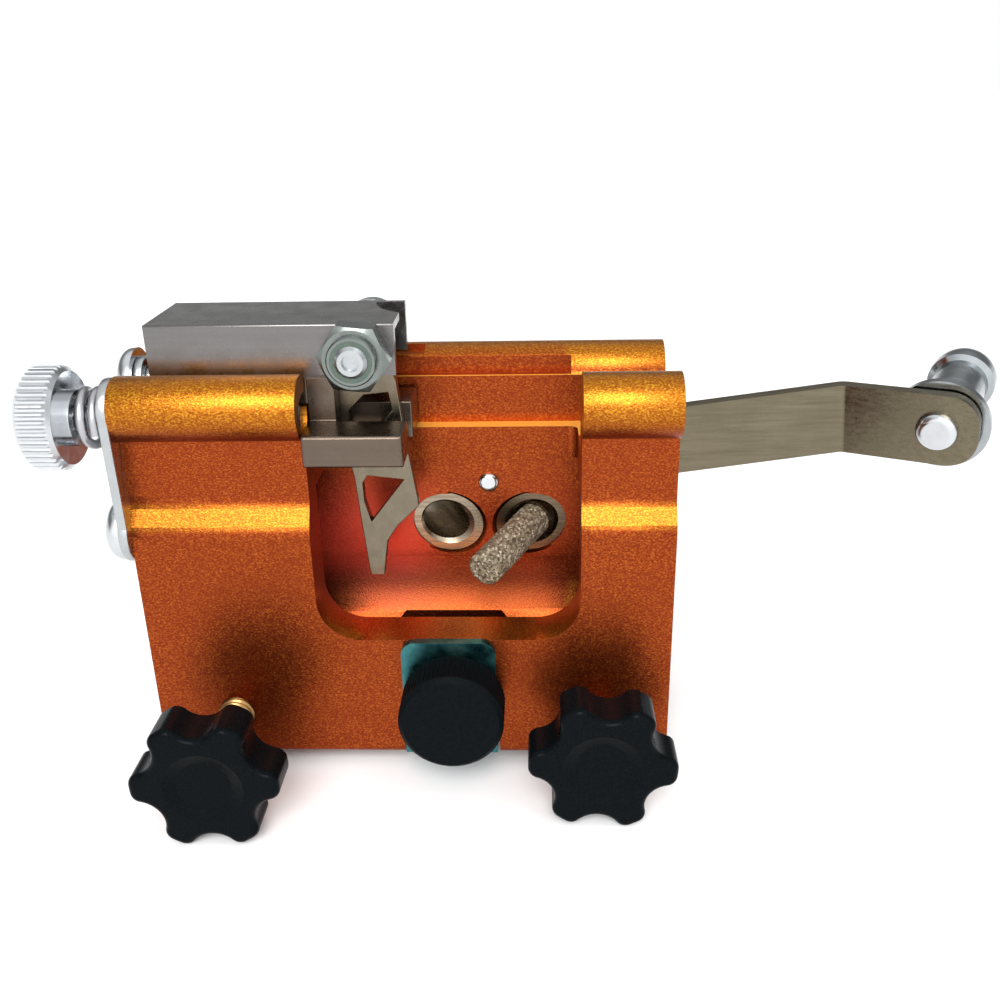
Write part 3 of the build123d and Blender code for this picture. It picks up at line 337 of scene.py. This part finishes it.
def grit():
    """Diamond grit in a brown bond: rough, with bright and dark grains."""
    s = Shader("stone", (0.17, 0.13, 0.08), 0.25, 0.62)
    grains = s.cells(2600.0)
    fine = s.noise(5200.0, 3.0, 0.7)
    colour = s.ramp(grains["Color"], [
        (0.18, (0.05, 0.038, 0.024)),
        (0.45, (0.17, 0.13, 0.08)),
        (0.70, (0.29, 0.235, 0.16)),
        (0.90, (0.56, 0.50, 0.38)),
    ])
    s.colour(s.mix(s.span(fine, gives=(0.0, 0.5)), colour, (0.115, 0.085, 0.052)))
    s.rough(s.span(grains["Color"], gives=(0.35, 0.8)))
    s.bump(grains["Distance"], strength=0.7, distance_mm=0.12)
    s.bump(fine, strength=0.5, distance_mm=0.05)
    return s.mat


def moulded_black(name, roughness, grain):
    """Black plastic with the faint unevenness of a moulding."""
    s = Shader(name, (0.002, 0.003, 0.004), 0.0, roughness)
    s.bsdf.inputs["Specular IOR Level"].default_value = 0.03
    wave = s.noise(120.0, 2.0, 0.5)
    pores = s.noise(3200.0, 2.0, 0.6)
    s.colour(s.ramp(pores, [(0.3, (0.0015, 0.0025, 0.003)), (0.7, (0.004, 0.005, 0.006))]))
    s.rough(s.span(pores, (0.3, 0.7), (roughness - 0.05, roughness + 0.08)))
    s.bump(wave, strength=0.25, distance_mm=0.25)
    s.bump(pores, strength=grain, distance_mm=0.03)
    return s.mat


def nylon(name, base):
    """Waxy plastic that lets a little light in."""
    s = Shader(name, base, 0.0, 0.42)
    s.bsdf.inputs["Subsurface Weight"].default_value = 0.15
    s.bsdf.inputs["Subsurface Scale"].default_value = 0.6 * MM
    mottle = s.noise(900.0, 3.0, 0.6)
    s.colour(s.ramp(mottle, [(0.3, dimmed(base, 0.82)), (0.7, base)]))
    s.bump(mottle, strength=0.2, distance_mm=0.03)
    return s.mat


def brass_turned():
    """Brass with rings across the body's length."""
    s = Shader("brass", (0.78, 0.55, 0.22), 1.0, 0.26)
    rings = s.noise(2200.0, 3.0, 0.5, s.mapped(scale=(1.0, 0.05, 0.05)))
    s.colour(s.ramp(rings, [(0.3, (0.62, 0.42, 0.15)), (0.7, (0.84, 0.62, 0.27))]))
    s.bump(rings, strength=0.25, distance_mm=0.02)
    return s.mat


ALONG_BODY, ALONG_SCREW = (0.035, 1.0, 1.0), (1.0, 0.06, 1.0)
MATS = {
    "orange": orange_anodised(),
    "channel": mill_aluminium("channel_aluminium", ALONG_BODY, (0.175, 0.168, 0.165), 0.27),
    "guide": mill_aluminium("guide_aluminium", (0.04, 1.0, 1.0), (0.13, 0.10, 0.078), 0.28),
    "spacer": mill_aluminium("spacer_aluminium", ALONG_SCREW, (0.18, 0.17, 0.155), 0.28),
    # The two bushes are alike; the left one is painted in a lighter copy of the steel, painted light on
    # one of the pair.
    "bush_right": turned("bush_steel", (0.16, 0.12, 0.08), 0.24, turn_to(SHAFT_X, SHAFT_Z)),
    "bush_left_lit": turned("bush_steel_left_lit", (0.32, 0.26, 0.19), 0.24, turn_to(LEFT_BUSH_X, LEFT_BUSH_Z)),
    "bright": plated("bright_steel", (0.56, 0.58, 0.60), 0.14, clouding=0.24),
    "zinc": plated("zinc_steel", (0.42, 0.44, 0.45), 0.25),
    "nut": plated("nut_steel", (0.18, 0.20, 0.19), 0.22),
    "handle": plated("handle_steel", (0.34, 0.365, 0.38), 0.16, clouding=0.24),
    # The studs' orange-brown tint is a painted reflection of the orange body around them.
    "stud": plated("stud_steel_painted_reflection", (0.30, 0.17, 0.065), 0.30),
    "spring": plated("spring_steel", (0.42, 0.42, 0.44), 0.30),
    "grub": plated("grub_steel", (0.10, 0.10, 0.11), 0.36),
    "stamped": plated("stamped_steel", (0.18, 0.153, 0.11), 0.28),
    "teal": teal_passivated(),
    "arm": brushed_arm(),
    "brass": brass_turned(),
    "stone": grit(),
    "gloss": moulded_black("gloss_black", 0.22, grain=0.03),
    "matt": moulded_black("matt_black", 0.50, grain=0.25),
    "green": nylon("green_nylon", (0.06, 0.09, 0.07)),
    "white": nylon("white_nylon", (0.78, 0.77, 0.74)),
}

FINISH = {
    "main_body": "orange",
    "left_bush": "bush_left_lit",
    "right_bush": "bush_right",
    "bush_lock_pin": "bright",
    "end_plate": "zinc",
    "end_screw_rear": "bright",
    "end_screw_lower": "bright",
    "slider_stop_screw": "bright",
    "adjust_knob": "bright",
    "adjust_screw": "zinc",
    "adjust_spring": "spring",
    "adjust_clip": "spring",
    "slider_channel": "channel",
    "slider_block": "guide",
    "pawl_guide": "guide",
    "drive_nut": "brass",
    "pivot_bolt": "zinc",
    "pivot_nut": "nut",
    "nut_insert": "green",
    "pivot_spacer_front": "spacer",
    "pivot_spacer_rear": "spacer",
    "pawl": "stamped",
    "thrust_washer": "white",
    "drive_shaft": "bush_right",
    "stone_grub_screw": "grub",
    "grinding_stone": "stone",
    "stone_shank": "bright",
    "crank_hub": "bush_right",
    "hub_grub_screw": "grub",
    "crank_arm": "arm",
    "crank_screw": "bright",
    "handle_rivet": "bright",
    "handle_washer": "zinc",
    "crank_handle": "handle",
    "star_knob_left": "gloss",
    "clamp_stud_left": "stud",
    "clamp_pad_left": "zinc",
    "star_knob_right": "gloss",
    "clamp_stud_right": "stud",
    "clamp_pad_right": "zinc",
    "bar_stop": "teal",
    "lock_knob": "matt",
    "lock_screw": "zinc",
    "lock_washer": "zinc",
}
for node_name, finish in FINISH.items():
    mesh = NODES[node_name].data
    mesh.materials.clear()
    mesh.materials.append(MATS[finish])


# Softened CAD edges

EDGE_WIDTH_MM = {
    "main_body": 0.38,
    "slider_channel": 0.32,
    "slider_block": 0.2,
    "pawl_guide": 0.2,
    "pawl": 0.14,
    "end_plate": 0.22,
    "bar_stop": 0.2,
    "lock_washer": 0.12,
    "handle_washer": 0.1,
    "crank_hub": 0.12,
    "thrust_washer": 0.12,
}
SHARP_EDGE = math.radians(32.0)
WELD_REACH = 1e-6


def soften(node_name, width_mm):
    """Rounds a CAD node's sharp edges, so they catch the light as machined edges do."""
    obj = NODES[node_name]
    weld = obj.modifiers.new("weld", "WELD")
    weld.merge_threshold = WELD_REACH
    bevel = obj.modifiers.new("edge", "BEVEL")
    bevel.width = width_mm * MM
    bevel.segments = 2
    bevel.limit_method = "ANGLE"
    bevel.angle_limit = SHARP_EDGE


for node_name, width in EDGE_WIDTH_MM.items():
    soften(node_name, width)


# Pieces made here

def tube_mesh(name, rings):
    """A closed skin over rings of points, each ring a list of the same number of places."""
    around = len(rings[0])
    bm = bmesh.new()
    loops = [[bm.verts.new(place) for place in ring] for ring in rings]
    for near, far in zip(loops, loops[1:]):
        for i in range(around):
            j = (i + 1) % around
            bm.faces.new((near[i], near[j], far[j], far[i]))
    bm.faces.new(list(reversed(loops[0])))
    bm.faces.new(loops[-1])
    bmesh.ops.recalc_face_normals(bm, faces=bm.faces)
    mesh = bpy.data.meshes.new(name)
    bm.to_mesh(mesh)
    bm.free()
    for face in mesh.polygons:
        face.use_smooth = True
    obj = bpy.data.objects.new(name, mesh)
    bpy.context.scene.collection.objects.link(obj)
    return obj


def stand_in(obj, node_name, body, finish):
    """Puts a piece made here in the place of a CAD node."""
    obj.data.materials.append(MATS[finish])
    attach(obj, body)
    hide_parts(node_name)


def box_mm(node_name):
    """A CAD node's middle and size in mm."""
    low, high = (Vector(corner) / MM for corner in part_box(node_name))
    return (low + high) / 2, high - low


def screw(name, node_name, along, side, pitch, tenon=0.0, tenon_radius=0.0):
    """A screw with its real thread, at the CAD's outer radius. A tenon is the plain part at its start."""
    around, rings_per_turn, end_chamfer = 40, 8, 0.45
    thread_depth, flank, crest = 0.5 * pitch, 1.25, 0.15
    middle, size = box_mm(node_name)
    length = abs(size.dot(along))
    radius = size.dot(side) / 2
    start = middle - along * (length / 2)
    steps = int(length / pitch * rings_per_turn)
    rings = []
    for k in range(steps + 1):
        s = length * k / steps
        on_tenon = s < tenon
        full = tenon_radius if on_tenon else radius
        from_end = min(s if on_tenon else s - tenon, length - s)
        at_end = full - max(0.0, end_chamfer - from_end)
        ring = []
        for i in range(around):
            turn = i / around
            wave = abs(2.0 * ((s / pitch - turn) % 1.0) - 1.0)
            cut = 0.0 if on_tenon else thread_depth * min(1.0, max(0.0, flank * wave - crest))
            angle = 2.0 * math.pi * turn
            out = side * math.cos(angle) + UP * math.sin(angle)
            ring.append((start + along * s + out * min(full - cut, at_end)) * MM)
        rings.append(ring)
    return tube_mesh(name, rings)


def make_screws():
    """Both clamp studs, the lock screw and the thumb screw."""
    for hand in ("left", "right"):
        node_name = f"clamp_stud_{hand}"
        stud = screw(
            f"threaded_stud_{hand}", node_name, FRONT, RIGHT, pitch=1.0, tenon=1.18, tenon_radius=1.95
        )
        stand_in(stud, node_name, f"{hand}_clamp", "stud")
    lock_screw = screw("threaded_lock_screw", "lock_screw", FRONT, RIGHT, pitch=0.8)
    stand_in(lock_screw, "lock_screw", "lock", "zinc")
    adjust_screw = screw("threaded_adjust_screw", "adjust_screw", RIGHT, BACK, pitch=0.7)
    stand_in(adjust_screw, "adjust_screw", "thumb_screw", "zinc")


def make_lock_nut():
    """Hexagonal lock nut with its corners cut off by a cone, and the round collar of its plastic ring."""
    around, turn = 120, math.radians(-6.0)
    face_radius, height, collar_radius, collar_edge = 4.5, 4.2, 3.75, 0.25
    lip_outside, lip_inside, lip_depth = 3.55, 3.15, 0.7
    cone_slope = math.tan(math.radians(30.0))
    sector = math.pi / 3
    middle, size = box_mm("pivot_nut")
    rear, length = middle - FRONT * (size.y / 2), size.y
    half_flats = size.x / 2 / math.cos(turn) * math.cos(sector / 2)
    collar = [
        (height, face_radius),
        (height, collar_radius),
        (length - collar_edge, collar_radius),
        (length, lip_outside),
        (length, lip_inside),
        (length - lip_depth, lip_inside),
    ]
    outs, hexagon = [], []
    for i in range(around):
        angle = 2.0 * math.pi * i / around
        from_corner = (angle + sector / 2) % sector - sector / 2
        outs.append(RIGHT * math.cos(angle + turn) + UP * math.sin(angle + turn))
        hexagon.append(half_flats / math.cos(sector / 2 - abs(from_corner)))
    rings = [
        [(rear + out * reach) * MM for out, reach in zip(outs, hexagon)],
        [
            (rear + out * reach + FRONT * (height - (reach - face_radius) * cone_slope)) * MM
            for out, reach in zip(outs, hexagon)
        ],
    ]
    rings += [[(rear + out * radius + FRONT * s) * MM for out in outs] for s, radius in collar]
    nut = tube_mesh("lock_nut", rings)
    nut.data.set_sharp_from_angle(angle=math.radians(25.0))
    stand_in(nut, "pivot_nut", "slider", "nut")


def make_stone():
    """Grinding stone with its grit standing out of the bond, inside the CAD's smooth rod."""
    around, steps, end_rings, bend_steps = 150, 150, 8, 5
    radius, tip_round, back, front, ring_gap = 3.0, 0.9, 1.48, -15.7, 0.25
    grit_pitch, chunk_pitch, chunk_shift = 3.1, 1.2, RIGHT * 7.0
    least_sink, grit_sink, chunk_sink, tip_depth = 0.02, 0.17, 0.13, 0.3
    profile = [(front, ring_gap + k * ring_gap) for k in range(end_rings)]
    for k in range(bend_steps + 1):
        bend = math.pi / 2 * k / bend_steps
        profile.append((
            front + tip_round * (1 - math.cos(bend)),
            radius - tip_round * (1 - math.sin(bend)),
        ))
    shoulder = front + tip_round
    profile += [(shoulder + (back - shoulder) * k / steps, radius) for k in range(1, steps + 1)]
    rings = []
    for s, r in profile:
        ring = []
        for i in range(around):
            angle = 2.0 * math.pi * i / around
            out = SHAFT_X * math.cos(angle) + SHAFT_Y * math.sin(angle)
            place = SHAFT_ORIGIN / MM + SHAFT_Z * s + out * r
            grit_high = 0.5 + 0.5 * noise.noise(place * grit_pitch)
            chunk = 0.5 + 0.5 * noise.noise(place * chunk_pitch + chunk_shift)
            sink = least_sink + grit_sink * grit_high * grit_high + chunk_sink * chunk
            inward = out * (-sink * min(1.0, r / radius))
            backward = SHAFT_Z * (sink if s < front + tip_depth else 0.0)
            ring.append((place + inward + backward) * MM)
        rings.append(ring)
    stand_in(tube_mesh("gritty_stone", rings), "grinding_stone", "crank", "stone")


make_screws()
make_lock_nut()
make_stone()


# Stage, light, camera

def make_stage():
    """A white floor under the body."""
    half_width = 3.0
    floor_mesh = bpy.data.meshes.new("floor")
    bm = bmesh.new()
    bmesh.ops.create_grid(bm, x_segments=1, y_segments=1, size=half_width)
    bm.to_mesh(floor_mesh)
    bm.free()
    floor = bpy.data.objects.new("floor", floor_mesh)
    bpy.context.scene.collection.objects.link(floor)
    floor.location = (0.0, 0.0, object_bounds()[0][2])
    s = Shader("floor_white", (0.90, 0.90, 0.90), 0.0, 0.6)
    floor_mesh.materials.append(s.mat)


def soft_sun(name, azimuth, elevation, spread, strength):
    """A wide soft source far away. Azimuth 0 shines from the front, along +Y."""
    data = bpy.data.lights.new(name, "SUN")
    data.angle = math.radians(spread)
    data.energy = strength
    lamp = bpy.data.objects.new(name, data)
    bpy.context.scene.collection.objects.link(lamp)
    turn, rise = math.radians(azimuth), math.radians(elevation)
    towards = Vector((math.sin(turn) * math.cos(rise), math.cos(turn) * math.cos(rise), -math.sin(rise)))
    lamp.rotation_euler = towards.to_track_quat("-Z", "Y").to_euler()


def make_light():
    """A tent around the object: a bright sheet in front, white low down and overhead, and a soft key.
    The camera sees plain white in its place."""
    level_by_height = ((0.0, 1.0), (0.10, 1.0), (0.24, 0.24), (0.52, 0.28), (0.78, 1.0), (1.0, 1.2))
    sheet_starts, sheet_full, sheet_level = -0.35, -0.75, 1.7
    world = bpy.data.worlds.new("studio")
    bpy.context.scene.world = world
    world.use_nodes = True
    nodes, link = world.node_tree.nodes, world.node_tree.links.new
    coords = nodes.new("ShaderNodeTexCoord")
    split = nodes.new("ShaderNodeSeparateXYZ")
    link(coords.outputs["Generated"], split.inputs["Vector"])
    ramp = nodes.new("ShaderNodeValToRGB")
    elements = ramp.color_ramp.elements
    for place, level in level_by_height[2:]:
        elements.new(place)
    for element, (place, level) in zip(elements, level_by_height):
        element.position = place
        element.color = (level, level, level, 1.0)
    link(split.outputs["Z"], ramp.inputs["Fac"])
    in_front = nodes.new("ShaderNodeMapRange")
    in_front.inputs["From Min"].default_value = sheet_starts
    in_front.inputs["From Max"].default_value = sheet_full
    link(split.outputs["Y"], in_front.inputs["Value"])
    seen = nodes.new("ShaderNodeLightPath")
    colour = ramp.outputs["Color"]
    for factor, level in (
        (in_front.outputs["Result"], sheet_level),
        (seen.outputs["Is Camera Ray"], 1.0),
    ):
        blend = nodes.new("ShaderNodeMixRGB")
        blend.inputs["Color2"].default_value = (level, level, level, 1.0)
        link(factor, blend.inputs["Fac"])
        link(colour, blend.inputs["Color1"])
        colour = blend.outputs["Color"]
    link(colour, nodes["Background"].inputs["Color"])
    soft_sun("key", azimuth=4.0, elevation=40.0, spread=34.0, strength=2.8)
    soft_sun("fill", azimuth=-60.0, elevation=40.0, spread=60.0, strength=0.5)


def make_camera():
    """The photograph's view, fitted to points of the object."""
    pitch, yaw, roll = math.radians(66.994), math.radians(2.251), math.radians(-1.165)
    data = bpy.data.cameras.new("camera")
    data.sensor_width = 36.0
    data.lens = 37.235
    data.clip_start = 0.01
    camera = bpy.data.objects.new("camera", data)
    bpy.context.scene.collection.objects.link(camera)
    camera.location = Vector((20.257, -159.561, 107.641)) * MM
    turns = Matrix.Rotation(yaw, 4, "Z") @ Matrix.Rotation(pitch, 4, "X") @ Matrix.Rotation(roll, 4, "Z")
    camera.rotation_euler = turns.to_euler()
    bpy.context.scene.camera = camera


make_stage()
make_light()
make_camera()
bpy.context.scene.view_settings.view_transform = "Standard"
